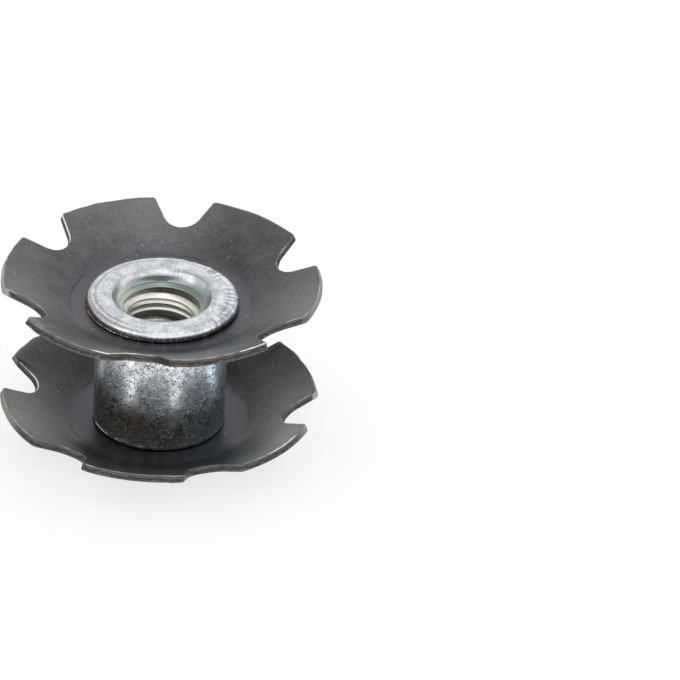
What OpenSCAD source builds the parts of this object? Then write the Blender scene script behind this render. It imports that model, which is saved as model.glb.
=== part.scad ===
// Star nut: a threaded sleeve with two dished star washers riveted onto it.
// The nut is driven down a tube, where the lobes of the washers bite into the
// wall, and a bolt is screwed into the sleeve from above.
// Z runs along the bolt, and z = 0 is the flat face of the clinched end.

/* [Star washers] */
// Diameter across the lobes, on the cupped face
rim_d = 23; // [20:0.5:30]
// Thickness of the spring steel sheet
sheet_t = 0.55; // [0.4:0.05:0.9]
// Slope of the lobes above the flat seat, in degrees
dish_angle = 25.5; // [15:0.5:35]
// Inside radius of the bend between the seat and the lobes
bend_r = 1.5; // [0.5:0.1:2.5]
// Flat ring of the seat that the flange leaves bare
seat_margin = 1.1; // [0.6:0.1:1.6]
// Turn of the lower washer from the upper one, in degrees
stagger = 28; // [0:1:60]

/* [Notches] */
// Number of notches round each washer
notch_count = 6; // [4:1:7]
// Depth of a notch from the rim, along the slope
notch_depth = 2.6; // [2:0.1:3.2]
// Radius of the notch floor
notch_r = 1.5; // [1:0.1:1.8]
// Flare of each notch wall from the centre line, in degrees
notch_flare = 29; // [5:1:40]
// Radius of the lobe corners
corner_r = 0.3; // [0.1:0.05:0.6]

/* [Sleeve] */
// Length of the body between the two washers
body_h = 9.2; // [5:0.1:16]
// Width of the shoulder that carries a washer
shoulder_w = 0.85; // [0.5:0.05:1.5]
// Chamfer on the ends of the body
body_edge = 0.2; // [0.05:0.05:0.4]
// Wall of the necks, where they pass through the washers
neck_wall = 1.5; // [1.3:0.05:2]
// Clearance round a neck in its washer
neck_gap = 0.05; // [0.02:0.01:0.15]

/* [Rolled flange] */
// Reach of the flange over the upper washer
flange_w = 1.6; // [1:0.05:2.2]
// Thickness of the flange
flange_t = 0.65; // [0.5:0.05:1.2]
// Radius of the flange's rounded edge
flange_edge_r = 0.24; // [0.1:0.02:0.24]

/* [Clinched end] */
// Reach of the clinched end under the lower washer
clinch_w = 1.3; // [0.8:0.05:2]
// Thickness of the clinched end
clinch_t = 0.6; // [0.5:0.05:1]
// Radius of the clinched end's rounded edge
clinch_edge_r = 0.2; // [0.1:0.02:0.24]

/* [Bore] */
// Nominal diameter of the thread
thread_d = 6; // [5:0.5:8]
// Pitch of the thread
thread_pitch = 1; // [0.8:0.05:1.25]
// Width of the countersink round the bore at the flange
mouth_w = 0.85; // [0.5:0.05:0.95]
// Rounding of the lip at the flange
lip_r = 0.5; // [0.2:0.05:0.5]
// Width of the flare round the bore at the clinched end
flare_w = 0.6; // [0.3:0.05:0.9]

/* [Hidden] */
$fn = 96;

// radii, from the bore outwards
bore_r = (thread_d - thread_pitch) / 2;
neck_r = bore_r + neck_wall;
body_r = neck_r + shoulder_w;
flange_r = neck_r + flange_w;
clinch_r = neck_r + clinch_w;
hole_r = neck_r + neck_gap;
bend_at_r = flange_r + seat_margin;
rim_r = rim_d / 2;

// heights, from the clinched end upwards
lower_seat_z = clinch_t;
body_z = lower_seat_z + sheet_t;
upper_seat_z = body_z + body_h;
flange_z = upper_seat_z + sheet_t;
top_z = flange_z + flange_t;

// how far a cutter runs past the surface that it cuts
past = 1;

steel_grey = [0.36, 0.36, 0.37];
zinc = [0.76, 0.77, 0.79];

// Sleeve -----------------------------------------------------------------

// Section of a ring whose two outer corners are rounded.
module rounded_ring(inner_r, outer_r, height, edge_r) {
    translate([inner_r, 0]) square([outer_r - edge_r - inner_r, height]);
    translate([inner_r, edge_r]) square([outer_r - inner_r, height - 2 * edge_r]);
    for (z = [edge_r, height - edge_r])
        translate([outer_r - edge_r, z]) circle(edge_r);
}

// Section of the body, with a chamfer at each end for the washers to sit square.
module body_section() {
    polygon([
        [0, 0], [body_r - body_edge, 0], [body_r, body_edge],
        [body_r, body_h - body_edge], [body_r - body_edge, body_h], [0, body_h]
    ]);
}

// What the rounding of the flange's lip takes away.
module lip_cut() {
    mouth_r = bore_r + mouth_w;
    difference() {
        translate([mouth_r - past, top_z - lip_r]) square([past + lip_r, lip_r + past]);
        translate([mouth_r + lip_r, top_z - lip_r]) circle(lip_r);
    }
}

// Section of the bore: flared below, straight for the thread, countersunk above.
module bore_section() {
    mouth_r = bore_r + mouth_w;
    mouth_z = top_z - lip_r;
    polygon([
        [0, -past], [bore_r + flare_w + past, -past], [bore_r, flare_w],
        [bore_r, mouth_z - mouth_w], [mouth_r, mouth_z],
        [mouth_r, top_z + past], [0, top_z + past]
    ]);
    lip_cut();
}

module sleeve() {
    color(zinc)
    rotate_extrude()
    difference() {
        union() {
            square([neck_r, top_z]);
            rounded_ring(0, clinch_r, clinch_t, clinch_edge_r);
            translate([0, body_z]) body_section();
            translate([0, flange_z]) rounded_ring(0, flange_r, flange_t, flange_edge_r);
        }
        bore_section();
    }
}

// Star washers -----------------------------------------------------------

// Section of the sheet: a flat seat, a bend, and the slope of the lobes.
module sheet_section() {
    bend_x = bend_at_r - bend_r * tan(dish_angle / 2);
    slope_x = bend_x + bend_r * sin(dish_angle);
    outer_bend_r = bend_r + sheet_t;
    reach = 2 * outer_bend_r;

    translate([hole_r, 0]) square([bend_x - hole_r, sheet_t]);
    translate([bend_x, outer_bend_r]) {
        intersection() {
            difference() {
                circle(outer_bend_r);
                circle(bend_r);
            }
            polygon([[0, 0], [0, -reach], reach * [sin(dish_angle), -cos(dish_angle)]]);
        }
        rotate(dish_angle) translate([0, -outer_bend_r])
            square([(rim_r - slope_x) / cos(dish_angle), sheet_t]);
    }
}

// Outline of a notch on the slope, laid out flat. X runs outwards from the
// point where the slope, carried on inwards, would meet the axis. Each lobe
// corner is an arc that runs out a hair past the wall and the rim, so that it
// crosses them cleanly.
module notch_outline() {
    rim_x = rim_r / cos(dish_angle);
    outer_x = rim_x + past;
    floor_x = rim_x - notch_depth + notch_r;
    along = [cos(notch_flare), sin(notch_flare)];
    across = [-sin(notch_flare), cos(notch_flare)];
    foot = [floor_x, 0] + notch_r * across;
    wall_end = foot + (outer_x - foot[0]) / along[0] * along;

    // the arc's centre lies as far from the wall as from the rim
    inset = corner_r * 0.97;
    start = foot + inset * across;
    reach = rim_x - inset;
    run = sqrt(pow(start * along, 2) - start * start + reach * reach) - start * along;
    corner = start + run * along;

    translate([floor_x, 0]) circle(notch_r);
    for (side = [0, 1]) mirror([0, side]) {
        polygon([[floor_x, 0], foot, wall_end, [outer_x, 0]]);
        difference() {
            polygon([
                corner, corner - 2 * corner_r * across, [outer_x, 0],
                wall_end, corner * outer_x / norm(corner)
            ]);
            translate(corner) circle(corner_r);
        }
    }
}

// A star washer, lying on its seat.
module star_washer() {
    slope_tip_z = sheet_t - bend_at_r * tan(dish_angle);
    punch_h = 4 * past;
    color(steel_grey)
    difference() {
        rotate_extrude() sheet_section();
        for (i = [0 : notch_count - 1])
            rotate(i * 360 / notch_count)
            translate([0, 0, slope_tip_z])
            rotate([0, -dish_angle, 0])
            translate([0, 0, -punch_h / 2])
            linear_extrude(punch_h) notch_outline();
    }
}

module upper_star_washer() {
    translate([0, 0, upper_seat_z]) star_washer();
}

module lower_star_washer() {
    translate([0, 0, lower_seat_z]) rotate(stagger) star_washer();
}

sleeve();
upper_star_washer();
lower_star_washer();
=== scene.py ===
import math

import bmesh
import bpy
from mathutils import Matrix, Quaternion, Vector, noise


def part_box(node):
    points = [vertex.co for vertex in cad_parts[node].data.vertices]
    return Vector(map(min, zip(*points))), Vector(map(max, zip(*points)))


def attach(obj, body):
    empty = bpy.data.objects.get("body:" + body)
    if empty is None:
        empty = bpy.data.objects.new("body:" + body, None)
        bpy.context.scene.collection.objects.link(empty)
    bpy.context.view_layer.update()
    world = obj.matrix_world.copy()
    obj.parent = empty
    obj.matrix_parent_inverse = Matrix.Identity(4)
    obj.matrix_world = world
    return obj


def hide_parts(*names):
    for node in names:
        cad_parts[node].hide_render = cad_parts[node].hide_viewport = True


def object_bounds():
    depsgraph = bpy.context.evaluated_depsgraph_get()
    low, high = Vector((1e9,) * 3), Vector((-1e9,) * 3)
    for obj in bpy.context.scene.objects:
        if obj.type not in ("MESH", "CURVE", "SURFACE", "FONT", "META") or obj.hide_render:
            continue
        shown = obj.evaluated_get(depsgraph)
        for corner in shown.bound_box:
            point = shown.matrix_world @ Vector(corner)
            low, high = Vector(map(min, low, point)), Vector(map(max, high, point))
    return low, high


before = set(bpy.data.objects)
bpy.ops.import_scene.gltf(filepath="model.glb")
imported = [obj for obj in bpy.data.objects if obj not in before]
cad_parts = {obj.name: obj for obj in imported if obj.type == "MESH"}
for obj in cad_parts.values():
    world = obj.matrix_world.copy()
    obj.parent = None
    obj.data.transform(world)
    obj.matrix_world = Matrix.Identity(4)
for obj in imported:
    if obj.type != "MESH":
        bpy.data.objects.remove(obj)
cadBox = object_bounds()
mm = 0.001   # the meshes are modelled in millimetres and scaled to metres at the end
sharpAngle = 38   # an edge that turns by more degrees stays sharp
smooth = {"interpolation_type": "SMOOTHSTEP"}   # settings that many nodes share
colours = {"data_type": "RGBA"}
multiply = {"operation": "MULTIPLY"}
multiplyAdd = {"operation": "MULTIPLY_ADD"}
dotProduct = {"operation": "DOT_PRODUCT"}
rightward = (0.925, -0.38, 0)   # to the right as the camera looks, level with the floor
farAway = (0.38, 0.925, 0)   # straight away from the camera


def srgb(code):
    # "#rrggbb" as written in a picture editor, turned to linear RGBA
    parts = [int(code[i:i + 2], 16) / 255 for i in (1, 3, 5)]
    linear = [c / 12.92 if c <= 0.04045 else ((c + 0.055) / 1.055) ** 2.4 for c in parts]
    return (*linear, 1.0)


def perMm(size):
    # scale for a pattern whose features are this many millimetres across
    return 1 / (size * mm)


def addNode(tree, kind, settings=None, inputs=None):
    # one node with its settings; an input is a value, an output socket, or another node,
    # which is linked from its first output in use
    node = tree.nodes.new("ShaderNode" + kind)
    for name, value in (settings or {}).items():
        setattr(node, name, value)
    for name, value in (inputs or {}).items():
        if isinstance(value, bpy.types.Node):
            value = next(socket for socket in value.outputs if socket.enabled)
        if isinstance(value, bpy.types.NodeSocket):
            tree.links.new(value, node.inputs[name])
        else:
            node.inputs[name].default_value = value
    return node


def newMaterial(name):
    material = bpy.data.materials.new(name)
    material.use_nodes = True
    material.node_tree.nodes.clear()
    return material, material.node_tree


def millimetresOf(node):
    # a CAD node's lowest and highest corner, in millimetres
    return [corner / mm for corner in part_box(node)]


def finishPiece(bm, name, cadNode, material):
    bmesh.ops.scale(bm, vec=(mm, mm, mm), verts=bm.verts)
    mesh = bpy.data.meshes.new(name)
    bm.to_mesh(mesh)
    bm.free()
    mesh.materials.append(material)
    mesh.shade_smooth()
    mesh.set_sharp_from_angle(angle=math.radians(sharpAngle))
    piece = bpy.data.objects.new(name, mesh)
    bpy.context.scene.collection.objects.link(piece)
    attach(piece, "root")
    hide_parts(cadNode)
    print("made", name, "with", len(mesh.polygons), "faces")


def addArc(bm, vert, centre, angle, steps):
    # carries a vertex along an arc in its own plane z = 0 and returns the last one
    made = bmesh.ops.spin(
        bm, geom=[vert], cent=(*centre, 0), axis=(0, 0, 1), angle=angle, steps=steps)
    return [v for v in made["geom_last"] if isinstance(v, bmesh.types.BMVert)][0]


def addLine(bm, vert, place):
    made = bmesh.ops.extrude_vert_indiv(bm, verts=[vert])
    made["verts"][0].co = (*place, 0)
    return made["verts"][0]


# blued spring steel: colours, then sizes in millimetres
steelLook = {
    "dark": "#4d4d4e", "pale": "#757576", "handled": "#8c8c8d", "temper": "#5a595d",
    "fleck": "#a6a6a4", "sheared": "#61605f", "torn": "#484746", "land": "#595857",
    "wornGlint": "#b4b4b2", "burrGlint": "#e6e6e4", "rust": "#54463b", "smutAndShade": "#2a292a",
    "bared": "#adadab", "underShade": "#2e2d2c",
    "cloudSize": 1.3, "grainSize": 0.16, "strokeSize": (0.1, 1.6, 1.6), "fleckSize": 0.75,
    "scratchSize": (0.05, 1.1, 1.1), "shortScratchSize": (0.05, 0.9, 0.9), "breakSize": 2.5,
    "tearSize": 0.3, "wearGlintSize": 0.9, "bendShadeRadius": 7.0, "rustAt": (-3.2, -9.8, 12.2),
}


def bluedSpringSteel():
    # rolled strip, blanked, dished and tempered in oil: a dark satin skin with a fine
    # grain and handling scratches, and grey torn metal with a worn arris where it was cut;
    # the real grain is too fine to show, so it is drawn as coarse as it needs to be
    look = steelLook
    material, tree = newMaterial("bluedSpringSteel")
    coords = addNode(tree, "TexCoord").outputs["Object"]
    clouds = addNode(tree, "TexNoise", None, {
        "Vector": coords, "Scale": perMm(look["cloudSize"]), "Detail": 5.0, "Roughness": 0.72})
    smudge = addNode(tree, "MapRange", {"clamp": False}, {
        "Value": clouds, "From Min": 0.32, "From Max": 0.68})
    grain = addNode(tree, "TexNoise", None, {
        "Vector": coords, "Scale": perMm(look["grainSize"]), "Detail": 3.0})
    grit = addNode(tree, "MapRange", {"clamp": False}, {
        "Value": grain, "From Min": 0.33, "From Max": 0.67})
    skinShare = addNode(tree, "Mix", None, {0: 0.45, 2: smudge, 3: grit})
    skin = addNode(tree, "Mix", colours, {
        0: skinShare, 6: srgb(look["dark"]), 7: srgb(look["pale"])})

    # hands and boxes have rubbed the lobes paler; heat has tinted the metal round the seat
    flat = addNode(tree, "VectorMath", multiply, {0: coords, 1: (1, 1, 0)})
    radius = addNode(tree, "VectorMath", {"operation": "LENGTH"}, {0: flat})
    rubMask = addNode(tree, "MapRange", smooth, {
        "Value": radius, "From Min": 7.0 * mm, "From Max": 11.5 * mm, "To Max": 0.28})
    rubbed = addNode(tree, "Mix", colours, {0: rubMask, 6: skin, 7: srgb(look["handled"])})
    seatMask = addNode(tree, "MapRange", smooth, {
        "Value": radius, "From Min": 8.6 * mm, "From Max": 5.6 * mm, "To Max": 0.8})
    tempered = addNode(tree, "Mix", colours, {0: seatMask, 6: rubbed, 7: srgb(look["temper"])})
    # painted shade: the lower washer is darker low in its bowl and on its far side, under the
    # upper washer
    height = addNode(tree, "SeparateXYZ", None, {"Vector": coords}).outputs["Z"]
    bowl = addNode(tree, "MapRange", smooth, {
        "Value": height, "From Min": 3.2 * mm, "From Max": 1.4 * mm, "To Max": 0.4})
    behind = addNode(tree, "VectorMath", dotProduct, {0: coords, 1: farAway})
    lowBack = addNode(tree, "MapRange", smooth, {
        "Value": behind, "From Min": -1.5 * mm, "From Max": 6.0 * mm, "To Max": 0.5})
    isLower = addNode(tree, "Math", {"operation": "LESS_THAN"}, {
        0: height, 1: 6.0 * mm})
    lowBackShare = addNode(tree, "Math", multiply, {0: lowBack, 1: isLower})
    underShadeShare = addNode(tree, "Math", {"operation": "MAXIMUM"}, {0: lowBackShare, 1: bowl})
    underShaded = addNode(tree, "Mix", colours, {0: underShadeShare, 6: tempered, 7: srgb(look["underShade"])})

    # a faint broken dark ring is painted where the seat is bent up: painted shade along the bend
    wander = addNode(tree, "Math", multiplyAdd, {0: clouds, 1: 0.5 * mm, 2: radius})
    fromRing = addNode(tree, "Math", {"operation": "SUBTRACT"}, {
        0: wander, 1: look["bendShadeRadius"] * mm})
    offRing = addNode(tree, "Math", {"operation": "ABSOLUTE"}, {0: fromRing})
    ringLine = addNode(tree, "MapRange", smooth, {
        "Value": offRing, "From Min": 0.16 * mm, "From Max": 0.03 * mm})
    ringBreak = addNode(tree, "TexNoise", None, {
        "Vector": coords, "Scale": perMm(look["breakSize"]), "Detail": 2.0})
    ringShare = addNode(tree, "MapRange", None, {
        "Value": ringBreak, "From Min": 0.47, "From Max": 0.6, "To Max": 0.45})
    bendShadeMask = addNode(tree, "Math", multiply, {0: ringLine, 1: ringShare})
    bendShaded = addNode(tree, "Mix", colours, {0: bendShadeMask, 6: underShaded, 7: srgb(look["smutAndShade"])})

    # long faint strokes from the rolling mill, and short scratches across them
    strokes = []
    for turn, size in ((20, "strokeSize"), (84, "scratchSize"), (-37, "shortScratchSize")):
        laid = addNode(tree, "Mapping", None, {
            "Vector": coords, "Rotation": (0, 0, math.radians(turn)),
            "Scale": tuple(perMm(part) for part in look[size])})
        strokes.append(addNode(tree, "TexNoise", None, {
            "Vector": laid, "Scale": 1.0, "Detail": 2.0}))
    scratch = addNode(tree, "Math", {"operation": "MAXIMUM"}, {0: strokes[1], 1: strokes[2]})
    scratchMask = addNode(tree, "MapRange", None, {
        "Value": scratch, "From Min": 0.67, "From Max": 0.8, "To Max": 0.42})

    # specks of bare metal and dust
    specks = addNode(tree, "TexVoronoi", None, {
        "Vector": coords, "Scale": perMm(look["fleckSize"])})
    speckCell = addNode(tree, "SeparateColor", None, {"Color": specks.outputs["Color"]})
    speckSize = addNode(tree, "MapRange", None, {
        "Value": speckCell.outputs["Red"], "From Min": 0.45, "From Max": 1.0, "To Max": 0.14})
    speckMask = addNode(tree, "Math", {"operation": "LESS_THAN"}, {0: specks, 1: speckSize})
    speckShare = addNode(tree, "Math", multiplyAdd, {0: speckMask, 1: 0.5, 2: scratchMask})
    flecked = addNode(tree, "Mix", colours, {0: speckShare, 6: bendShaded, 7: srgb(look["fleck"])})

    # the cut edge: a burnished land over a torn band, rust here and there, and a worn arris that
    # is painted paler as a painted highlight too
    marks = addNode(tree, "Attribute", {"attribute_name": "edgeMarks"})
    depth = marks.outputs["Alpha"]
    marks = addNode(tree, "SeparateColor", None, {"Color": marks.outputs["Color"]})
    tear = addNode(tree, "TexNoise", None, {
        "Vector": coords, "Scale": perMm(look["tearSize"]), "Detail": 3.0})
    tearMask = addNode(tree, "MapRange", None, {"Value": tear, "From Min": 0.44, "From Max": 0.66})
    tearBand = addNode(tree, "Mix", colours, {
        0: tearMask, 6: srgb(look["torn"]), 7: srgb(look["sheared"])})
    breakHeight = addNode(tree, "Math", multiplyAdd, {0: clouds, 1: 1.5, 2: depth})
    aboveBreak = addNode(tree, "MapRange", None, {
        "Value": breakHeight, "From Min": 1.22, "From Max": 1.34})
    landed = addNode(tree, "Mix", colours, {0: aboveBreak, 6: tearBand, 7: srgb(look["land"])})
    fromBreak = addNode(tree, "Math", {"operation": "SUBTRACT"}, {0: breakHeight, 1: 1.2})
    offBreak = addNode(tree, "Math", {"operation": "ABSOLUTE"}, {0: fromBreak})
    breakLine = addNode(tree, "MapRange", None, {
        "Value": offBreak, "From Min": 0.14, "From Max": 0.04, "To Max": 0.8})
    tearLook = addNode(tree, "Mix", colours, {0: breakLine, 6: landed, 7: srgb(look["smutAndShade"])})
    toRust = addNode(tree, "VectorMath", {"operation": "DISTANCE"}, {
        0: coords, 1: tuple(part * mm for part in look["rustAt"])})
    rustNear = addNode(tree, "MapRange", None, {
        "Value": toRust, "From Min": 4.5 * mm, "From Max": 0.5 * mm, "To Min": -0.3,
        "To Max": 0.25})
    rustSum = addNode(tree, "Math", {"operation": "ADD"}, {0: rustNear, 1: clouds})
    rustMask = addNode(tree, "MapRange", None, {
        "Value": rustSum, "From Min": 0.55, "From Max": 0.75, "To Max": 0.75})
    rusted = addNode(tree, "Mix", colours, {0: rustMask, 6: tearLook, 7: srgb(look["rust"])})
    # the rims at both sides have been rubbed bare, but not the walls of the notches
    sideways = addNode(tree, "VectorMath", dotProduct, {0: coords, 1: rightward})
    sideOut = addNode(tree, "Math", {"operation": "ABSOLUTE"}, {0: sideways})
    sideRub = addNode(tree, "MapRange", smooth, {
        "Value": sideOut, "From Min": 9.8 * mm, "From Max": 11.3 * mm, "To Max": 0.65})
    onRim = addNode(tree, "MapRange", smooth, {
        "Value": radius, "From Min": 11.2 * mm, "From Max": 11.42 * mm})
    rimRub = addNode(tree, "Math", multiply, {0: sideRub, 1: onRim})
    rubbedWall = addNode(tree, "Mix", colours, {0: rimRub, 6: rusted, 7: srgb(look["bared"])})
    cut = addNode(tree, "Mix", colours, {0: marks.outputs["Red"], 6: flecked, 7: rubbedWall})
    # the arris and its burrs are painted pale and broken up: worn bare metal with a painted
    # highlight, near white on the burrs
    wearGlintPatch = addNode(tree, "TexNoise", None, {
        "Vector": coords, "Scale": perMm(look["wearGlintSize"]), "Detail": 3.0})
    wearGlintShare = addNode(tree, "MapRange", None, {
        "Value": wearGlintPatch, "From Min": 0.43, "From Max": 0.61, "To Max": 0.85})
    wearGlintMore = addNode(tree, "Math", {"operation": "ADD", "use_clamp": True}, {
        0: wearGlintShare, 1: marks.outputs["Blue"]})
    wearGlintMask = addNode(tree, "Math", multiply, {0: wearGlintMore, 1: marks.outputs["Green"]})
    bareGlint = addNode(tree, "Mix", colours, {
        0: marks.outputs["Blue"], 6: srgb(look["wornGlint"]), 7: srgb(look["burrGlint"])})
    wornGlint = addNode(tree, "Mix", colours, {0: wearGlintMask, 6: cut, 7: bareGlint})

    roughness = addNode(tree, "MapRange", None, {
        "Value": clouds, "From Min": 0.3, "From Max": 0.7, "To Min": 0.28, "To Max": 0.38})
    rougher = addNode(tree, "Math", multiplyAdd, {
        0: marks.outputs["Red"], 1: 0.2, 2: roughness})
    grainBump = addNode(tree, "Bump", None, {
        "Height": grain, "Distance": 0.008 * mm})
    strokeBump = addNode(tree, "Bump", None, {
        "Height": strokes[0], "Distance": 0.003 * mm, "Normal": grainBump})
    tearDepth = addNode(tree, "Math", multiply, {0: tear, 1: marks.outputs["Red"]})
    tearBump = addNode(tree, "Bump", None, {
        "Height": tearDepth, "Distance": 0.08 * mm, "Normal": strokeBump})
    surface = addNode(tree, "BsdfPrincipled", None, {
        "Base Color": wornGlint, "Metallic": 1.0, "Roughness": rougher, "Normal": tearBump})
    addNode(tree, "OutputMaterial", None, {"Surface": surface})
    return material


# the star washers: lengths in millimetres, angles in degrees
washerSpec = {
    "rimRadius": 11.5, "sheet": 0.55, "dish": 25.5, "bendRadius": 3.5, "bendAt": 6.7,
    "holeRadius": 4.05, "notches": 6, "notchDepth": 2.6, "notchRadius": 1.5,
    "notchFlare": 29.0, "cornerRadius": 0.3, "arris": 0.05, "waver": 0.035, "flexFrom": 8.0,
    "edgeRing": 8.2, "edgeShares": (1.0, 0.93, 0.8, 0.62, 0.42, 0.2, 0.0),
    "rings": (7.8, 7.45, 7.2, 6.95, 6.7, 6.45, 6.2, 5.9, 5.4, 4.7),
}

# how each lobe differs: where it is, half its width in degrees, reach and lift
upperLobes = [(30, 30, 0.05, 0.0), (90, 30, -0.02, 0.0), (150, 30, 0.04, 0.0),
              (194, 15, 0.02, 0.02), (189, 9, 0.0, 0.12), (276, 24, 0.0, -0.09),
              (330, 30, -0.04, 0.0)]
lowerLobes = [(118, 30, 0.03, 0.0), (129, 11, 0.16, 0.02), (141, 5, -0.08, -0.06),
              (158, 14, 0.02, 0.06), (216, 6, -0.12, 0.0), (238, 30, 0.0, -0.06),
              (257, 6, 0.06, -0.04), (298, 30, 0.03, -0.08), (6.2, 2.6, 0.05, 0.0),
              (20, 6, 0.0, 0.08)]
# ragged burrs left on the upper arris: where, half width in degrees, height
upperBurrs = [(109, 6, 0.07), (283, 7, 0.06), (62, 5, 0.03), (230, 8, 0.03)]
lowerBurrs = [(145, 6, 0.04), (300, 10, 0.03), (6.2, 2.2, 0.16)]


def lobeOutline(spec):
    # half a notch and half a lobe are drawn flat on the slope, then mirrored and repeated
    slope, flare = math.radians(spec["dish"]), math.radians(spec["notchFlare"])
    rimX = spec["rimRadius"] / math.cos(slope)
    floorX = rimX - spec["notchDepth"] + spec["notchRadius"]
    along = Vector((math.cos(flare), math.sin(flare)))
    across = Vector((-math.sin(flare), math.cos(flare)))
    foot = Vector((floorX, 0)) + spec["notchRadius"] * across
    start = foot + spec["cornerRadius"] * across
    reach = rimX - spec["cornerRadius"]
    run = math.sqrt(start.dot(along) ** 2 - start.dot(start) + reach ** 2) - start.dot(along)
    corner = start + run * along
    wallPoint = corner - spec["cornerRadius"] * across
    cornerTurn = math.pi / 2 - flare + math.atan2(corner.y, corner.x)

    bm = bmesh.new()
    tip = bm.verts.new((floorX - spec["notchRadius"], 0, 0))
    tip = addArc(bm, tip, (floorX, 0), -(math.pi / 2 - flare), 14)
    for part in range(1, 9):
        tip = addLine(bm, tip, foot.lerp(wallPoint, part / 8))
    tip = addArc(bm, tip, corner, cornerTurn, 8)

    # the punch leans with the slope, so the outline is foreshortened in plan
    for v in bm.verts:
        v.co.x *= math.cos(slope)
        v.co.x -= (math.hypot(v.co.x, v.co.y) - v.co.x) * math.sin(slope) ** 2
    tip.co *= spec["rimRadius"] / tip.co.length
    halfPitch = math.pi / spec["notches"]
    addArc(bm, tip, (0, 0), halfPitch - math.atan2(tip.co.y, tip.co.x), 22)
    bmesh.ops.mirror(
        bm, geom=bm.verts[:] + bm.edges[:], axis="Y", merge_dist=0.001)
    bmesh.ops.spin(
        bm, geom=bm.verts[:] + bm.edges[:], cent=(0, 0, 0), axis=(0, 0, 1),
        angle=2 * math.pi, steps=spec["notches"], use_duplicate=True, use_merge=False)
    bmesh.ops.remove_doubles(bm, verts=bm.verts, dist=0.002)
    return bm


def sheetHeight(radius, spec):
    # height of the cupped face above the underside of the seat
    slope = math.radians(spec["dish"])
    bendX = spec["bendAt"] - spec["bendRadius"] * math.tan(slope / 2)
    slopeX = bendX + spec["bendRadius"] * math.sin(slope)
    if radius <= bendX:
        return spec["sheet"]
    if radius <= slopeX:
        drop = math.sqrt(spec["bendRadius"] ** 2 - (radius - bendX) ** 2)
        return spec["sheet"] + spec["bendRadius"] - drop
    return spec["sheet"] + (radius - spec["bendAt"]) * math.tan(slope)


def nearness(angle, centre, width):
    # 1 in the middle of a stretch of the rim, 0 at its ends, angles in degrees
    fade = 0.35   # share of each half over which it grows to 1
    off = abs((angle - centre + 180) % 360 - 180) / width
    share = min(max((1 - off) / fade, 0), 1)
    return share * share * (3 - 2 * share)


def starWasher(name, cadNode, turn, spec, lobes, burrs, material):
    bm = lobeOutline(spec)
    # the flat blank: rings drawn in from the outline, all along radial lines
    keepRadius, shares = spec["edgeRing"], spec["edgeShares"]
    edges = bm.edges[:]
    for before, share in zip(shares, shares[1:]):
        made = bmesh.ops.extrude_edge_only(bm, edges=edges)["geom"]
        edges = [g for g in made if isinstance(g, bmesh.types.BMEdge)]
        for v in {v for e in edges for v in e.verts}:
            radius = v.co.xy.length
            v.co *= (keepRadius + (radius - keepRadius) * share / before) / radius
    for ring in (*spec["rings"], spec["holeRadius"]):
        made = bmesh.ops.extrude_edge_only(bm, edges=edges)["geom"]
        edges = [g for g in made if isinstance(g, bmesh.types.BMEdge)]
        for v in {v for e in edges for v in e.verts}:
            v.co *= ring / v.co.xy.length
    bmesh.ops.recalc_face_normals(bm, faces=bm.faces)
    if bm.faces[:][0].normal.z < 0:
        bmesh.ops.reverse_faces(bm, faces=bm.faces)

    # dished in the press
    for v in bm.verts:
        radius = v.co.xy.length
        angle = math.degrees(math.atan2(v.co.y, v.co.x)) + turn
        out = max(radius - spec["flexFrom"], 0) / (spec["rimRadius"] - spec["flexFrom"])
        reach = spec["waver"] * noise.noise(v.co * 0.8 + Vector((0, 0, turn + 1.5)))
        reach += 0.4 * spec["waver"] * noise.noise(v.co * 2.7 + Vector((0, 0, turn + 4.5)))
        lift = 0.02 * noise.noise(v.co * 0.25 + Vector((0, 0, turn + 9.5)))
        for centre, width, moreReach, moreLift in lobes:
            share = nearness(angle, centre, width)
            reach += share * moreReach
            lift += share * moreLift
        v.co *= (radius + reach * out * out) / radius
        v.co.z = sheetHeight(v.co.xy.length, spec) + lift * out * out
    bm.normal_update()
    bmesh.ops.solidify(bm, geom=bm.faces[:], thickness=spec["sheet"])
    bmesh.ops.recalc_face_normals(bm, faces=bm.faces)
    sharp = [e for e in bm.edges if e.is_manifold and e.calc_face_angle() > 1.0]
    bmesh.ops.bevel(
        bm, geom=sharp, affect="EDGES", offset=spec["arris"], offset_type="OFFSET",
        segments=2, profile=0.5, material=-1)

    # the torn wall, the upper arris and its burrs are marked for the material, and the
    # height on the wall from 0 at its lower side to 1 at its upper side
    bm.normal_update()
    layer = bm.loops.layers.float_color.new("edgeMarks")
    slope = math.radians(spec["dish"])
    for face in bm.faces:
        middle = face.calc_center_median()
        lean = slope if middle.xy.length > spec["bendAt"] else 0.0
        out = middle.xy.normalized()
        sheetNormal = Vector((-out.x * math.sin(lean), -out.y * math.sin(lean), math.cos(lean)))
        tilt = face.normal.dot(sheetNormal)
        wall = 1.0 if abs(tilt) < 0.3 else 0.0
        upper = 1.0 if 0.3 <= tilt < 0.93 else 0.0
        for loop in face.loops:
            place = loop.vert.co
            angle = math.degrees(math.atan2(place.y, place.x)) + turn
            burrGlint = sum(nearness(angle, centre, width) for centre, width, height in burrs)
            height = 1.0 if (place - middle).dot(sheetNormal) > 0 else 0.0
            loop[layer] = (wall, upper, burrGlint, height)

    bm.normal_update()
    arris = {v for f in bm.faces for v in f.verts if f.loops[0][layer][1] > 0.5}
    for v in arris:
        angle = math.degrees(math.atan2(v.co.y, v.co.x)) + turn
        ragged = max(noise.noise(v.co * 3.1) + 0.3, 0)
        for centre, width, height in burrs:
            v.co += v.normal * (nearness(angle, centre, width) * height * ragged)

    seatZ, top = (corner.z for corner in millimetresOf(cadNode))
    bmesh.ops.rotate(
        bm, cent=(0, 0, 0), matrix=Matrix.Rotation(math.radians(turn), 3, "Z"), verts=bm.verts)
    bmesh.ops.translate(bm, vec=(0, 0, seatZ), verts=bm.verts)
    for v in bm.verts:
        v.co.z = min(v.co.z, top - 0.01)
    finishPiece(bm, name, cadNode, material)


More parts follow.
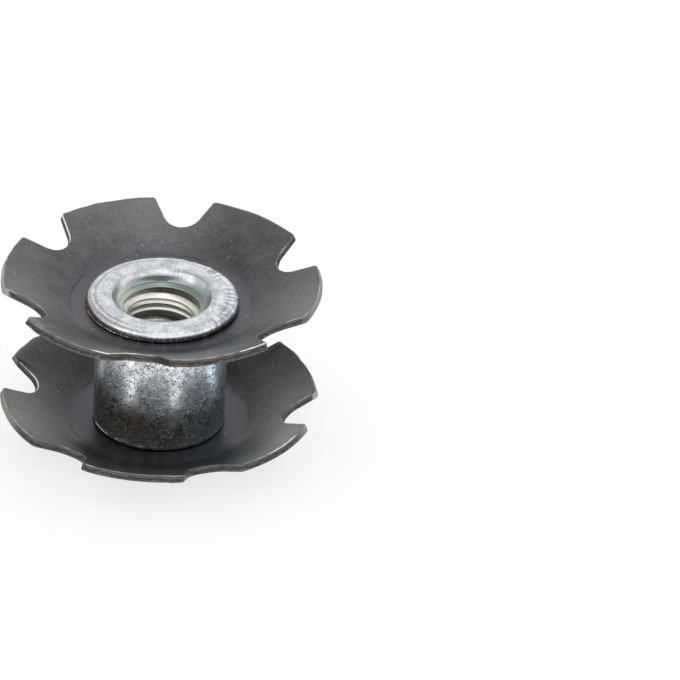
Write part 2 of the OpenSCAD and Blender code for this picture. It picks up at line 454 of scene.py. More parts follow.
# zinc plated turned steel: colours, then sizes in millimetres
zincLook = {
    "bright": "#dadcdf", "dull": "#bdbfc4", "blued": "#bdd0de", "spark": "#f4f4f4",
    "foldShade": "#999ea6", "ridgeHighlight": "#eceff4", "scuff": "#86888b", "warm": "#a89f92",
    "grimeAndShade": "#55514a", "pit": "#494744", "bore": "#e6e6dc", "shadedPassivate": "#8d9893",
    "farWallReflection": "#98a2a4", "rust": "#40392f",
    "patchSize": 0.9, "pitSize": 0.19, "grainSize": 0.13, "areaSize": 1.9, "wrinkleSize": 0.3,
    "reflectionWanderSize": 0.6, "pitPatchSize": 0.5, "blotchSize": 1.2, "toolLine": 5.12,
}


def zincPlate():
    # bright zinc over turned steel, rolled over hard at the mouth: whitish and mottled where it is
    # clean, pitted lower down and painted darker there as painted shade with dirt, yellowish in
    # the bore; the grain of the plating is too fine to show, so it is drawn as coarse as it needs
    # to be
    look = zincLook
    material, tree = newMaterial("zincPlatedTurnedSteel")
    coords = addNode(tree, "TexCoord").outputs["Object"]
    height = addNode(tree, "SeparateXYZ", None, {"Vector": coords}).outputs["Z"]
    flat = addNode(tree, "VectorMath", multiply, {0: coords, 1: (1, 1, 0)})
    radius = addNode(tree, "VectorMath", {"operation": "LENGTH"}, {0: flat})
    patches = addNode(tree, "TexNoise", None, {
        "Vector": coords, "Scale": perMm(look["patchSize"]), "Detail": 4.0, "Roughness": 0.5})
    grain = addNode(tree, "TexNoise", None, {
        "Vector": coords, "Scale": perMm(look["grainSize"]), "Detail": 3.0})
    patchMask = addNode(tree, "MapRange", None, {
        "Value": patches, "From Min": 0.38, "From Max": 0.6})
    plain = addNode(tree, "Mix", colours, {
        0: patchMask, 6: srgb(look["dull"]), 7: srgb(look["bright"])})
    scuffShare = addNode(tree, "MapRange", None, {
        "Value": grain, "From Min": 0.47, "From Max": 0.33, "To Max": 0.6})
    fleckPatch = addNode(tree, "TexNoise", None, {
        "Vector": coords, "Scale": perMm(look["areaSize"]), "Detail": 2.0})
    fleckArea = addNode(tree, "MapRange", None, {
        "Value": fleckPatch, "From Min": 0.4, "From Max": 0.56, "To Min": 0.3, "To Max": 1.0})
    scuffHere = addNode(tree, "Math", multiply, {0: scuffShare, 1: fleckArea})
    scuffed = addNode(tree, "Mix", colours, {0: scuffHere, 6: plain, 7: srgb(look["scuff"])})
    sparkShare = addNode(tree, "MapRange", None, {
        "Value": grain, "From Min": 0.54, "From Max": 0.66, "To Max": 0.7})
    sparkHere = addNode(tree, "Math", multiply, {0: sparkShare, 1: fleckArea})
    sparked = addNode(tree, "Mix", colours, {0: sparkHere, 6: scuffed, 7: srgb(look["spark"])})

    # short radial wrinkles where the roller left the rim, on one side only, with their folds
    # painted darker and their ridges paler: painted shade and painted highlight
    direction = addNode(tree, "VectorMath", {"operation": "NORMALIZE"}, {0: flat})
    spokes = addNode(tree, "VectorMath", {"operation": "SCALE"}, {0: direction, "Scale": 5 * mm})
    slowRadius = addNode(tree, "Math", multiply, {0: radius, 1: 0.3})
    lengthwise = addNode(tree, "CombineXYZ", None, {"Z": slowRadius})
    spokePlace = addNode(tree, "VectorMath", {"operation": "ADD"}, {0: spokes, 1: lengthwise})
    wrinkle = addNode(tree, "TexNoise", None, {
        "Vector": spokePlace, "Scale": perMm(look["wrinkleSize"]), "Detail": 2.0})
    onRight = addNode(tree, "VectorMath", dotProduct, {
        0: coords, 1: tuple(part / mm for part in rightward)})
    rightShare = addNode(tree, "MapRange", smooth, {
        "Value": onRight, "From Min": 2.2, "From Max": 4.2})
    outerShare = addNode(tree, "MapRange", smooth, {
        "Value": radius, "From Min": 4.3 * mm, "From Max": 4.9 * mm})
    onCrown = addNode(tree, "MapRange", None, {
        "Value": height, "From Min": 10.8 * mm, "From Max": 10.9 * mm})
    wrinkleSpot = addNode(tree, "Math", multiply, {0: rightShare, 1: outerShare})
    wrinkleArea = addNode(tree, "Math", multiply, {0: wrinkleSpot, 1: onCrown})
    wrinkleLit = addNode(tree, "MapRange", None, {
        "Value": wrinkle, "From Min": 0.4, "From Max": 0.6})
    wrinkleShading = addNode(tree, "Mix", colours, {
        0: wrinkleLit, 6: srgb(look["foldShade"]), 7: srgb(look["ridgeHighlight"])})
    wrinkleShare = addNode(tree, "Math", multiply, {0: wrinkleArea, 1: 0.85})
    crown = addNode(tree, "Mix", colours, {0: wrinkleShare, 6: sparked, 7: wrinkleShading})

    # crooked pits in the plating of the barrel, which has a blue cast on one side
    onBarrel = addNode(tree, "Math", {"operation": "GREATER_THAN"}, {0: radius, 1: 4.6 * mm})
    underCrown = addNode(tree, "Math", {"operation": "SUBTRACT", "use_clamp": True}, {
        0: onBarrel, 1: onCrown})
    castSide = addNode(tree, "MapRange", smooth, {
        "Value": onRight, "From Min": 0.5, "From Max": 4.6, "To Max": 0.75})
    castShare = addNode(tree, "Math", multiply, {0: castSide, 1: underCrown})
    plate = addNode(tree, "Mix", colours, {0: castShare, 6: crown, 7: srgb(look["blued"])})
    warp = addNode(tree, "TexNoise", None, {
        "Vector": coords, "Scale": perMm(look["reflectionWanderSize"]), "Detail": 2.0})
    # a contour line of a noise is a short crooked crack
    pits = addNode(tree, "TexNoise", None, {
        "Vector": coords, "Scale": perMm(look["pitSize"]), "Detail": 1.5, "Distortion": 0.6})
    fromMiddle = addNode(tree, "Math", {"operation": "SUBTRACT"}, {0: pits, 1: 0.5})
    offMiddle = addNode(tree, "Math", {"operation": "ABSOLUTE"}, {0: fromMiddle})
    pitLine = addNode(tree, "MapRange", None, {
        "Value": offMiddle, "From Min": 0.05, "From Max": 0.015})
    pitPatch = addNode(tree, "TexNoise", None, {
        "Vector": coords, "Scale": perMm(look["pitPatchSize"]), "Detail": 2.0})
    pitShare = addNode(tree, "MapRange", None, {
        "Value": pitPatch, "From Min": 0.4, "From Max": 0.56, "To Max": 0.85})
    pitDepth = addNode(tree, "Math", multiply, {0: pitLine, 1: pitShare})
    pitMask = addNode(tree, "Math", multiply, {0: pitDepth, 1: underCrown})
    pitted = addNode(tree, "Mix", colours, {0: pitMask, 6: plate, 7: srgb(look["pit"])})

    # the barrel is painted darker and blotchy towards the bottom, between the washers, less on the
    # right and not on the bead: painted shade near the lower washer, with dirt
    low = addNode(tree, "MapRange", smooth, {
        "Value": height, "From Min": 6.6 * mm, "From Max": 2.8 * mm, "To Min": -0.5,
        "To Max": 0.5})
    blotch = addNode(tree, "TexNoise", None, {
        "Vector": coords, "Scale": perMm(look["blotchSize"]), "Detail": 5.0, "Roughness": 0.62})
    lessRight = addNode(tree, "Math", multiplyAdd, {0: onRight, 1: -0.055, 2: low})
    grimeAndShade = addNode(tree, "Math", {"operation": "MULTIPLY_ADD", "use_clamp": True}, {
        0: blotch, 1: 0.9, 2: lessRight})
    lowShadeAndGrime = addNode(tree, "MapRange", None, {
        "Value": grimeAndShade, "From Min": 0.25, "From Max": 0.95, "To Max": 0.82})
    offBead = addNode(tree, "MapRange", None, {
        "Value": radius, "From Min": 4.868 * mm, "From Max": 4.9 * mm, "To Max": -0.65})
    beadSpared = addNode(tree, "Math", {"operation": "ADD", "use_clamp": True}, {
        0: lowShadeAndGrime, 1: offBead})
    cleaner = addNode(tree, "Math", {"operation": "MULTIPLY_ADD", "use_clamp": True}, {
        0: sparkHere, 1: -0.55, 2: beadSpared})
    darkenedLow = addNode(tree, "Mix", colours, {0: cleaner, 6: pitted, 7: srgb(look["grimeAndShade"])})

    # the roller has left a dirty line round the crown, and the rim outside it is warmer
    lineWander = addNode(tree, "Math", multiplyAdd, {0: patches, 1: 0.4 * mm, 2: radius})
    offLine = addNode(tree, "Math", {"operation": "SUBTRACT"}, {
        0: lineWander, 1: look["toolLine"] * mm})
    nearLine = addNode(tree, "Math", {"operation": "ABSOLUTE"}, {0: offLine})
    lineMask = addNode(tree, "MapRange", None, {
        "Value": nearLine, "From Min": 0.05 * mm, "From Max": 0.015 * mm})
    onLeft = addNode(tree, "VectorMath", dotProduct, {
        0: coords, 1: (-0.93 * perMm(1), 0.38 * perMm(1), 0)})
    leftShare = addNode(tree, "MapRange", smooth, {
        "Value": onLeft, "From Min": 2.5, "From Max": 5.0, "To Min": 0.05, "To Max": 0.5})
    lineShare = addNode(tree, "Math", multiply, {0: lineMask, 1: leftShare})
    rimWarm = addNode(tree, "MapRange", None, {
        "Value": offLine, "From Min": 0.1 * mm, "From Max": 0.5 * mm})
    warmShare = addNode(tree, "Math", multiply, {0: rimWarm, 1: leftShare})
    lineCrown = addNode(tree, "Math", multiply, {0: lineShare, 1: onCrown})
    warmCrown = addNode(tree, "Math", multiply, {0: warmShare, 1: onCrown})
    warmed = addNode(tree, "Mix", colours, {0: warmCrown, 6: darkenedLow, 7: srgb(look["warm"])})
    lined = addNode(tree, "Mix", colours, {0: lineCrown, 6: warmed, 7: srgb(look["grimeAndShade"])})

    # passivate has turned the bore yellow-green, with brown oily dirt in the roots; the
    # countersink and the lower crests are painted a darker grey-green, most at the far side, as
    # painted shade
    inBore = addNode(tree, "MapRange", None, {
        "Value": radius, "From Min": 3.48 * mm, "From Max": 3.34 * mm})
    inSink = addNode(tree, "MapRange", None, {
        "Value": height, "From Min": 10.36 * mm, "From Max": 10.44 * mm})
    farSide = addNode(tree, "VectorMath", dotProduct, {
        0: coords, 1: (0.75 * perMm(1), 0.66 * perMm(1), 0)})
    farSideShade = addNode(tree, "MapRange", smooth, {
        "Value": farSide, "From Min": -0.6, "From Max": 2.2, "To Min": 0.45, "To Max": 1.0})
    sinkShadeShare = addNode(tree, "Math", multiply, {0: inSink, 1: farSideShade})
    sinkShaded = addNode(tree, "Mix", colours, {
        0: sinkShadeShare, 6: srgb(look["bore"]), 7: srgb(look["shadedPassivate"])})
    # a grey crescent is painted on the wall at the far edge of the mouth: a painted reflection
    farEdge = addNode(tree, "VectorMath", dotProduct, {
        0: coords, 1: tuple(part / mm for part in farAway)})
    reflectionEdge = addNode(tree, "Math", multiplyAdd, {0: warp, 1: 0.3, 2: farEdge})
    onWall = addNode(tree, "MapRange", None, {
        "Value": height, "From Min": 10.72 * mm, "From Max": 10.78 * mm})
    reflectionSpot = addNode(tree, "MapRange", None, {
        "Value": reflectionEdge, "From Min": 2.6, "From Max": 3.1, "To Max": 0.85})
    reflectionMask = addNode(tree, "Math", multiply, {0: reflectionSpot, 1: onWall})
    boreMetal = addNode(tree, "Mix", colours, {0: reflectionMask, 6: sinkShaded, 7: srgb(look["farWallReflection"])})
    # the crests low in the bore get the same darker colour: painted shade
    crest = addNode(tree, "MapRange", None, {
        "Value": radius, "From Min": 2.56 * mm, "From Max": 2.5 * mm})
    lowerTurns = addNode(tree, "MapRange", None, {
        "Value": height, "From Min": 9.3 * mm, "From Max": 9.0 * mm, "To Max": 0.9})
    lowerCrestShade = addNode(tree, "Math", multiply, {0: crest, 1: lowerTurns})
    crestShaded = addNode(tree, "Mix", colours, {
        0: lowerCrestShade, 6: boreMetal, 7: srgb(look["shadedPassivate"])})
    boreLook = addNode(tree, "Mix", colours, {0: inBore, 6: lined, 7: crestShaded})
    # brown dirt in the thread roots, with painted shade: darker in the first groove, deep in the
    # bore and in the split crests, less on the left
    root = addNode(tree, "MapRange", None, {
        "Value": radius, "From Min": 2.84 * mm, "From Max": 2.96 * mm, "To Min": -0.1,
        "To Max": 0.4})
    deepShade = addNode(tree, "MapRange", None, {
        "Value": height, "From Min": 8.4 * mm, "From Max": 7.9 * mm, "To Max": 0.38})
    first = addNode(tree, "MapRange", None, {
        "Value": height, "From Min": 9.86 * mm, "From Max": 10.06 * mm,
        "To Max": 0.22})
    deepOrFirst = addNode(tree, "Math", {"operation": "MAXIMUM"}, {0: deepShade, 1: first})
    rootOrDeep = addNode(tree, "Math", {"operation": "ADD"}, {0: root, 1: deepOrFirst})
    inSplit = addNode(tree, "Attribute", {"attribute_name": "splitShade"})
    notCone = addNode(tree, "MapRange", None, {
        "Value": height, "From Min": 10.46 * mm, "From Max": 10.4 * mm})
    rootDarkness = addNode(tree, "Math", {"operation": "MULTIPLY_ADD", "use_clamp": True}, {
        0: blotch, 1: 0.6, 2: rootOrDeep})
    rootDirtShade = addNode(tree, "MapRange", None, {
        "Value": rootDarkness, "From Min": 0.4, "From Max": 0.7, "To Max": 0.85})
    dirtAndShade = addNode(tree, "Math", {"operation": "MAXIMUM"}, {
        0: rootDirtShade, 1: inSplit.outputs["Fac"]})
    lessOnLeft = addNode(tree, "MapRange", None, {
        "Value": onLeft, "From Min": 0.2, "From Max": 2.4, "To Min": 1.0, "To Max": 0.5})
    dirtShadeHere = addNode(tree, "Math", multiply, {0: dirtAndShade, 1: lessOnLeft})
    rootShare = addNode(tree, "Math", multiply, {0: dirtShadeHere, 1: notCone})
    rootShareIn = addNode(tree, "Math", multiply, {0: rootShare, 1: inBore})
    rootShaded = addNode(tree, "Mix", colours, {0: rootShareIn, 6: boreLook, 7: srgb(look["rust"])})

    # painted shade, broken into specks with dirt, on the lower side of the rolled flange's rim
    # where it curls under
    gap = addNode(tree, "MapRange", None, {
        "Value": height, "From Min": 11.36 * mm, "From Max": 11.16 * mm})
    outside = addNode(tree, "Math", {"operation": "GREATER_THAN"}, {0: radius, 1: 5.0 * mm})
    underRimShade = addNode(tree, "Math", multiply, {0: gap, 1: outside})
    gapBreak = addNode(tree, "MapRange", None, {
        "Value": grain, "From Min": 0.6, "From Max": 0.54, "To Max": 0.9})
    underRimShadeSpecks = addNode(tree, "Math", multiply, {0: underRimShade, 1: gapBreak})
    aboveBody = addNode(tree, "Math", {"operation": "GREATER_THAN"}, {
        0: height, 1: 6.0 * mm})
    gapShare = addNode(tree, "Math", multiply, {0: underRimShadeSpecks, 1: aboveBody})
    finished = addNode(tree, "Mix", colours, {0: gapShare, 6: rootShaded, 7: srgb(look["grimeAndShade"])})

    roughness = addNode(tree, "MapRange", None, {
        "Value": patches, "From Min": 0.35, "From Max": 0.65, "To Min": 0.32, "To Max": 0.22})
    rougher = addNode(tree, "Math", multiplyAdd, {0: inBore, 1: 0.03, 2: roughness})
    metalShare = addNode(tree, "Math", multiplyAdd, {0: inBore, 1: -0.16, 2: 1.0})
    coarse = addNode(tree, "Bump", None, {
        "Height": patches, "Distance": 0.012 * mm})
    fine = addNode(tree, "Bump", None, {
        "Height": grain, "Distance": 0.008 * mm, "Normal": coarse})
    pitBump = addNode(tree, "Bump", {"invert": True}, {
        "Height": pitMask, "Distance": 0.03 * mm, "Normal": fine})
    surface = addNode(tree, "BsdfPrincipled", None, {
        "Base Color": finished, "Metallic": metalShare, "Roughness": rougher, "Normal": pitBump})
    addNode(tree, "OutputMaterial", None, {"Surface": surface})
    return material


# the sleeve: lengths and heights in millimetres, angles in degrees
sleeveSpec = {
    "bodyRadius": 4.85, "bodyEdge": 0.12, "neckRadius": 4.0, "steps": 360,
    "clinchRadius": 5.3, "clinchRound": 0.2, "footRadius": 3.1,
    "flangeRadius": 5.65, "rimRound": 0.44, "underRound": 0.2,
    "crownDrop": 0.03, "crownLift": 0.1, "ringRadius": 4.9, "ringStep": 0.035,
    "lipRound": 0.5, "lipWidth": 0.85, "mouthRadius": 3.33, "mouthOval": 0.035,
    "beadHeight": 1.42, "beadReach": 0.055,
    "throat": ((0.04, 0.7), (0.06, 0.82), (0.095, 0.85), (0.095, 0.92), (0.13, 0.95),
               (0.25, 1.01), (0.37, 1.06), (0.41, 1.09), (0.425, 1.13), (0.4, 1.17),
               (0.345, 1.22)),   # how far inside the mouth and how deep, each
    "seatRadius": 3.27, "seatHeight": 10.83, "coneSlope": 0.55,
    "threadTop": 10.1, "threadRunOut": 0.2, "pitch": 1.0, "turnSteps": 120, "turns": 10,
    "rootRadius": 3.0, "crestRadius": 2.47, "crestDip": 0.24, "crestWidth": 0.5,
    "splitFrom": 8.95, "crestAtEnd": 10.13, "endTurn": 247.6,
}


def arcPoints(centre, radius, first, last, steps):
    # points of an arc in the (radius, height) plane, angles in degrees
    turns = [math.radians(first + (last - first) * i / steps) for i in range(steps + 1)]
    return [(centre[0] + radius * math.cos(a), centre[1] + radius * math.sin(a)) for a in turns]


def linePoints(first, last, steps):
    # points after the first one, up to the last
    (fromR, fromZ), (toR, toZ) = first, last
    return [(fromR + (toR - fromR) * i / steps, fromZ + (toZ - fromZ) * i / steps)
            for i in range(1, steps + 1)]


def cutBackRadius(height, spec, low):
    # the thread runs out under the countersink, and the foot is countersunk too
    upper = spec["crestRadius"] + (height - spec["threadTop"]) * (
        (spec["rootRadius"] - spec["crestRadius"]) / spec["threadRunOut"])
    lower = spec["footRadius"] - (height - low)
    return max(upper, lower)


def sleeveShell(bm, spec, low, high, lowerSeat, upperSeat, sheet):
    # one closed section is spun all the way round
    flangeZ, bodyLow = upperSeat + sheet, lowerSeat + sheet
    body, edge, neck = spec["bodyRadius"], spec["bodyEdge"], spec["neckRadius"]
    rim, lip, mouth = spec["rimRound"], spec["lipRound"], spec["mouthRadius"]
    root, flange, clinch = spec["rootRadius"], spec["flangeRadius"], spec["clinchRadius"]
    foot, curl = spec["footRadius"], spec["clinchRound"]
    crownTop = high - spec["crownDrop"]
    ring = spec["ringRadius"]

    section = [(root, low + foot - root), (foot, low)]
    section += arcPoints((clinch - curl, low + curl), curl, -90, 0, 5)
    section += arcPoints((clinch - curl, lowerSeat - curl), curl, 0, 90, 5)
    section += [(neck, lowerSeat), (neck, bodyLow), (body - edge, bodyLow)]
    bead, beadOut = spec["beadHeight"], body + spec["beadReach"]
    section += [(body, bodyLow + edge), (body, bead - 0.06), (beadOut, bead - 0.02)]
    section += [(beadOut, bead + 0.02), (body, bead + 0.09)]
    section += linePoints((body, bead + 0.09), (body, upperSeat - edge), 36)
    section += [(body - edge, upperSeat), (neck, upperSeat), (neck, flangeZ)]
    under = spec["underRound"]
    section += arcPoints((flange - under, flangeZ + under), under, -90, 0, 5)
    section += arcPoints((flange - rim, crownTop - rim), rim, 0, 90, 10)
    section += linePoints((flange - rim, crownTop), (ring + 0.05, high - spec["ringStep"]), 3)
    section += linePoints((ring + 0.05, high - spec["ringStep"]), (ring - 0.03, high), 2)
    wideLip = spec["lipWidth"]
    section += linePoints((ring - 0.03, high), (mouth + wideLip, high), 8)
    section += [(mouth + wideLip + (r - mouth - lip) * wideLip / lip, z)
                for r, z in arcPoints((mouth + lip, high - lip), lip, 90, 180, 14)[1:]]
    # under the lip: a steep wall, a fine step, the seat of the countersink and a groove
    section += [(mouth - inset, high - depth) for inset, depth in spec["throat"]]
    section += [(root, high - 1.32)]
    verts = [bm.verts.new((r, 0, z)) for r, z in section]
    edges = [bm.edges.new(pair) for pair in zip(verts, verts[1:] + verts[:1])]
    bmesh.ops.spin(
        bm, geom=verts + edges, cent=(0, 0, 0), axis=(0, 0, 1), angle=2 * math.pi,
        steps=spec["steps"], use_merge=True)
    bmesh.ops.remove_doubles(bm, verts=bm.verts, dist=0.001)
    bmesh.ops.recalc_face_normals(bm, faces=bm.faces)


def threadRidge(bm, spec, low):
    # one turn is wound, copied up the bore and cut back at both ends; the crest of the first turns
    # is split, because the thread is formed and not cut, and the split is marked for painted shade
    pitch, root, crest = spec["pitch"], spec["rootRadius"] + 0.05, spec["crestRadius"]
    wide, dip = spec["crestWidth"] / 2, spec["crestDip"]
    section = linePoints((root, -0.47 * pitch), (crest, -wide), 4)
    section += [(crest + 0.02, -wide * 0.75), (crest + dip, 0.04)]
    section += [(crest + 0.05, wide * 0.5), (crest + 0.03, wide * 0.76)]
    section += [(crest + 0.14, 0.3 * pitch), (crest + 0.3, 0.42 * pitch)]
    section += [(crest + 0.44, 0.46 * pitch), (root, 0.47 * pitch)]
    section.insert(0, (root, -0.47 * pitch))
    turn = math.radians(spec["endTurn"])
    bottom = spec["crestAtEnd"] - spec["turns"] * pitch
    corners = [bm.verts.new((r * math.cos(turn), r * math.sin(turn), bottom + z))
               for r, z in section]
    ring = [bm.edges.new(pair) for pair in zip(corners, corners[1:] + corners[:1])]
    bmesh.ops.spin(
        bm, geom=ring + corners, cent=(0, 0, 0), axis=(0, 0, 1), angle=2 * math.pi,
        steps=spec["turnSteps"], dvec=(0, 0, pitch / spec["turnSteps"]))
    oneTurn = bm.verts[:] + bm.edges[:] + bm.faces[:]
    for level in range(1, spec["turns"]):
        copied = bmesh.ops.duplicate(bm, geom=oneTurn)["geom"]
        bmesh.ops.translate(
            bm, vec=(0, 0, pitch * level),
            verts=[g for g in copied if isinstance(g, bmesh.types.BMVert)])
    bmesh.ops.remove_doubles(bm, verts=bm.verts, dist=0.001)
    bmesh.ops.holes_fill(bm, edges=[e for e in bm.edges if e.is_boundary], sides=len(section))
    bmesh.ops.recalc_face_normals(bm, faces=bm.faces)
    splitShade = bm.verts.layers.float.new("splitShade")
    for v in bm.verts:
        radius = v.co.xy.length
        if abs(radius - crest - dip) < 0.02:
            split = min(max((v.co.z - spec["splitFrom"]) / 0.3, 0), 1)
            v.co.xy *= (crest + 0.02 + (dip - 0.02) * split) / radius
            v[splitShade] = 0.95 * split
        v.co.z = min(max(v.co.z, low + 0.1), spec["threadTop"] + 0.4)
        radius = v.co.xy.length
        least = min(cutBackRadius(v.co.z, spec, low), root)
        if radius < least:
            v.co.xy *= least / radius
    # the ends have shrunk to nothing in the wall, and only their leavings are taken away
    bmesh.ops.remove_doubles(bm, verts=bm.verts, dist=0.0005)
    loose = [e for e in bm.edges if not e.link_faces]
    bmesh.ops.delete(bm, geom=loose, context="EDGES")
    bmesh.ops.delete(bm, geom=[v for v in bm.verts if not v.link_edges], context="VERTS")


def roughened(co, spec, flangeZ):
    # the spun-over flange is lumpy, with wrinkles from the tool, its mouth is a little
    # oval, and the barrel is wavy
    radius = co.xy.length
    out = Vector((co.x, co.y, 0)) / radius
    side = out.dot(Vector(rightward))
    slow = noise.noise(co * 0.45 + Vector((3, 7, 1)))
    quick = noise.noise(co * 1.7 + Vector((11, 2, 5)))
    if co.z > flangeZ + 0.1 and radius > 3.72:
        turn = math.atan2(co.y, co.x)
        wrinkle = noise.noise(Vector((turn * 13, radius * 0.5, 4)))
        edgeShare = min(max((radius - 4.4) / 0.8, 0), 1)
        wrinkled = edgeShare * min(max(side + 0.4, 0.2), 1)
        lift = -0.02 * abs(slow) - 0.02 * max(quick, 0) - 0.06 * wrinkled * max(wrinkle, 0)
        reach = 0.06 * side - 0.02 - 0.04 * abs(slow) - 0.05 * wrinkled * max(wrinkle, 0)
        return co + Vector((0, 0, lift)) + out * (edgeShare * reach)
    coneRadius = spec["seatRadius"] + (co.z - spec["seatHeight"]) * spec["coneSlope"]
    if spec["seatHeight"] < co.z and radius < min(coneRadius, 3.7):
        # the roller has opened the mouth to a cone, but not at the back
        opened = min(max((abs(side + 0.1) - 0.15) / 0.6, 0), 1)
        opened *= opened * (3 - 2 * opened)
        return co + out * ((coneRadius - radius) * opened)
    if spec["rootRadius"] - 0.12 < radius < 3.31 and co.z > spec["threadTop"] + 0.2:
        return co - out * (spec["mouthOval"] * radius * side * side)
    if radius > spec["bodyRadius"] + 0.01 and abs(co.z - spec["beadHeight"]) < 0.04:
        # the turned bead at the foot is only left standing on one side
        keep = min(max(0.45 - side * 0.9 + 1.4 * quick, 0.1), 1.15)
        return co - out * (radius - spec["bodyRadius"]) * (1 - keep)
    if radius > spec["neckRadius"] + 0.3 and co.z < flangeZ - 0.6:
        return co + out * (0.012 * slow - 0.012 * max(quick, 0))
    return co


def sleeve(spec, sheet, material):
    low, high = millimetresOf("sleeve")
    lowerSeat = millimetresOf("lower_star_washer")[0].z
    upperSeat = millimetresOf("upper_star_washer")[0].z
    thread = bmesh.new()
    threadRidge(thread, spec, low.z)
    threadMesh = bpy.data.meshes.new("threadRidge")
    thread.to_mesh(threadMesh)
    thread.free()
    bm = bmesh.new()
    bm.verts.layers.float.new("splitShade")
    sleeveShell(bm, spec, low.z, high.z + spec["crownLift"], lowerSeat, upperSeat, sheet)
    for v in bm.verts:
        v.co = roughened(v.co, spec, upperSeat + sheet)
    bm.from_mesh(threadMesh)
    bpy.data.meshes.remove(threadMesh)
    finishPiece(bm, "threadedSleeve", "sleeve", material)


# camera, floor and light
cameraSpec = {
    "azimuth": -22.36, "elevation": 30.92, "roll": 1.47, "distance": 0.4,
    "focalPixels": 5490.7, "aimPixel": (162.5, 276.2), "imagePixels": 680,
}


def towards(azimuth, elevation):
    # the direction from the object to a camera or lamp, angles in degrees
    azimuth, elevation = math.radians(azimuth), math.radians(elevation)
    return Vector((math.sin(azimuth) * math.cos(elevation),
                   -math.cos(azimuth) * math.cos(elevation), math.sin(elevation)))


def makeCamera(spec, aim):
    data = bpy.data.cameras.new("camera")
    data.sensor_width = 36
    data.lens = spec["focalPixels"] / spec["imagePixels"] * data.sensor_width
    data.clip_start, data.clip_end = 0.01, 10
    camera = bpy.data.objects.new("camera", data)
    bpy.context.scene.collection.objects.link(camera)
    back = towards(spec["azimuth"], spec["elevation"])
    middle = spec["imagePixels"] / 2
    sight = Vector((spec["aimPixel"][0] - middle, middle - spec["aimPixel"][1],
                    -spec["focalPixels"]))
    turn = sight.rotation_difference(Vector((0, 0, -1)))
    roll = Quaternion((0, 0, 1), math.radians(spec["roll"]))
    camera.location = aim + back * spec["distance"]
    camera.rotation_mode = "QUATERNION"
    camera.rotation_quaternion = (-back).to_track_quat("-Z", "Y") @ roll @ turn
    bpy.context.scene.camera = camera


def makeFloor():
    bm = bmesh.new()
    bmesh.ops.create_grid(bm, x_segments=1, y_segments=1, size=1.5)
    bmesh.ops.translate(bm, vec=(0, 0, -0.00002), verts=bm.verts)
    mesh = bpy.data.meshes.new("floor")
    bm.to_mesh(mesh)
    bm.free()
    floor = bpy.data.objects.new("floor", mesh)
    bpy.context.scene.collection.objects.link(floor)
    material, tree = newMaterial("glowingPaperSweep")
    mesh.materials.append(material)
    # for mirrored rays the paper glows as if a strip lamp raked it in front, darker under the back
    # of the object and bright again further behind: painted light and painted shadow that the
    # metal mirrors
    path = addNode(tree, "LightPath")
    coords = addNode(tree, "TexCoord").outputs["Object"]
    inFront = addNode(tree, "VectorMath", dotProduct, {0: coords, 1: (-0.08, -0.99, 0)})
    frontGlow = addNode(tree, "MapRange", smooth, {
        "Value": inFront, "From Min": -0.014, "From Max": 0.001, "To Min": 0.12, "To Max": 1.5})
    farGlow = addNode(tree, "MapRange", smooth, {
        "Value": inFront, "From Min": -0.014, "From Max": -0.045, "To Max": 1.3})
    paintedGlow = addNode(tree, "Math", {"operation": "ADD"}, {0: frontGlow, 1: farGlow})
    mirrored = addNode(tree, "Math", {"operation": "MAXIMUM"}, {
        0: path.outputs["Is Glossy Ray"], 1: path.outputs["Is Transmission Ray"]})
    strength = addNode(tree, "Mix", None, {0: mirrored, 2: 1.0, 3: paintedGlow})
    seen = addNode(tree, "Math", {"operation": "MAXIMUM"}, {
        0: path.outputs["Is Camera Ray"], 1: mirrored})
    shown = addNode(tree, "Math", multiply, {0: seen, 1: 0.75})
    share = addNode(tree, "Math", multiplyAdd, {0: mirrored, 1: 0.2, 2: shown})
    paper = addNode(tree, "BsdfDiffuse", None, {"Color": srgb("#f4f4f4")})
    glow = addNode(tree, "Emission", None, {"Color": (1, 1, 1, 1), "Strength": strength})
    mixed = addNode(tree, "MixShader", None, {0: share, 1: paper, 2: glow})
    addNode(tree, "OutputMaterial", None, {"Surface": mixed})


def makeLight(name, azimuth, elevation, distance, size, power):
    back = towards(azimuth, elevation)
    data = bpy.data.lights.new(name, "AREA")
    data.shape = "RECTANGLE"
    data.size, data.size_y = size
    data.energy = power
    lamp = bpy.data.objects.new(name, data)
    bpy.context.scene.collection.objects.link(lamp)
    lamp.location = back * distance
    lamp.rotation_mode = "QUATERNION"
    lamp.rotation_quaternion = (-back).to_track_quat("-Z", "Y")


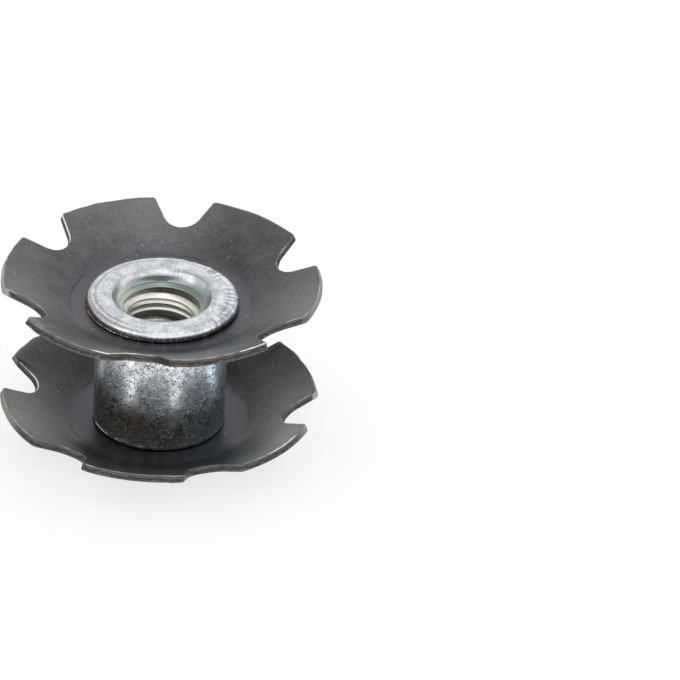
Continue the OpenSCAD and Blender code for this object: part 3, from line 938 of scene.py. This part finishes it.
def makeWorld():
    # a white studio: a bright panel runs from overhead down to the back, with greyer walls
    # beside it, most of all high on the left, and a window at the front left
    world = bpy.data.worlds.new("studio")
    bpy.context.scene.world = world
    world.use_nodes = True
    tree = world.node_tree
    tree.nodes.clear()
    path = addNode(tree, "LightPath")
    way = addNode(tree, "TexCoord").outputs["Generated"]
    height = addNode(tree, "SeparateXYZ", None, {"Vector": way}).outputs["Z"]
    across = addNode(tree, "VectorMath", dotProduct, {0: way, 1: rightward})
    aside = addNode(tree, "Math", {"operation": "SUBTRACT"}, {0: across, 1: 0.04})
    fromPanel = addNode(tree, "Math", {"operation": "ABSOLUTE"}, {0: aside})
    beside = addNode(tree, "MapRange", smooth, {
        "Value": fromPanel, "From Min": 0.06, "From Max": 0.32})
    onLeft = addNode(tree, "MapRange", smooth, {
        "Value": across, "From Min": 0.0, "From Max": -0.3})
    high = addNode(tree, "MapRange", smooth, {"Value": height, "From Min": 0.5, "From Max": 0.78})
    corner = addNode(tree, "Math", multiply, {0: onLeft, 1: high})
    inFront = addNode(tree, "VectorMath", dotProduct, {0: way, 1: (-0.38, -0.925, 0)})
    frontShare = addNode(tree, "MapRange", smooth, {
        "Value": inFront, "From Min": 0.02, "From Max": 0.4})
    frontWall = addNode(tree, "MapRange", smooth, {
        "Value": across, "From Min": 0.35, "From Max": -0.4, "To Min": 1.25, "To Max": 1.5})
    horizon = addNode(tree, "MapRange", smooth, {
        "Value": height, "From Min": 0.5, "From Max": 0.0, "To Min": 0.76, "To Max": 1.25})
    wall = addNode(tree, "Math", multiplyAdd, {0: corner, 1: -0.3, 2: horizon})
    panel = addNode(tree, "MapRange", smooth, {
        "Value": height, "From Min": 0.93, "From Max": 0.99, "To Min": 1.08, "To Max": 1.6})
    ceiling = addNode(tree, "Mix", None, {0: beside, 2: panel, 3: wall})
    around = addNode(tree, "Mix", None, {0: frontShare, 2: ceiling, 3: frontWall})
    mirrored = addNode(tree, "Math", {"operation": "MAXIMUM"}, {
        0: path.outputs["Is Glossy Ray"], 1: path.outputs["Is Transmission Ray"]})
    glossy = addNode(tree, "Mix", None, {0: mirrored, 2: 1.15, 3: around})
    strength = addNode(tree, "Mix", None, {0: path.outputs["Is Camera Ray"], 2: glossy, 3: 1.0})
    sky = addNode(tree, "Background", None, {"Color": (1, 1, 1, 1), "Strength": strength})
    addNode(tree, "OutputWorld", None, {"Surface": sky})


steel = bluedSpringSteel()
zinc = zincPlate()
starWasher(
    "upperStarWasher", "upper_star_washer", 0, washerSpec, upperLobes, upperBurrs, steel)
starWasher(
    "lowerStarWasher", "lower_star_washer", 28, washerSpec, lowerLobes, lowerBurrs, steel)
sleeve(sleeveSpec, washerSpec["sheet"], zinc)

makeCamera(cameraSpec, Vector((0, 0, cadBox[1].z)))
makeFloor()
makeWorld()
makeLight("leftBox", -110, 40, 0.6, (0.5, 0.5), 0.2)
makeLight("rightBox", 80, 40, 0.6, (0.5, 0.5), 0.2)
bpy.context.scene.view_settings.view_transform = "Standard"
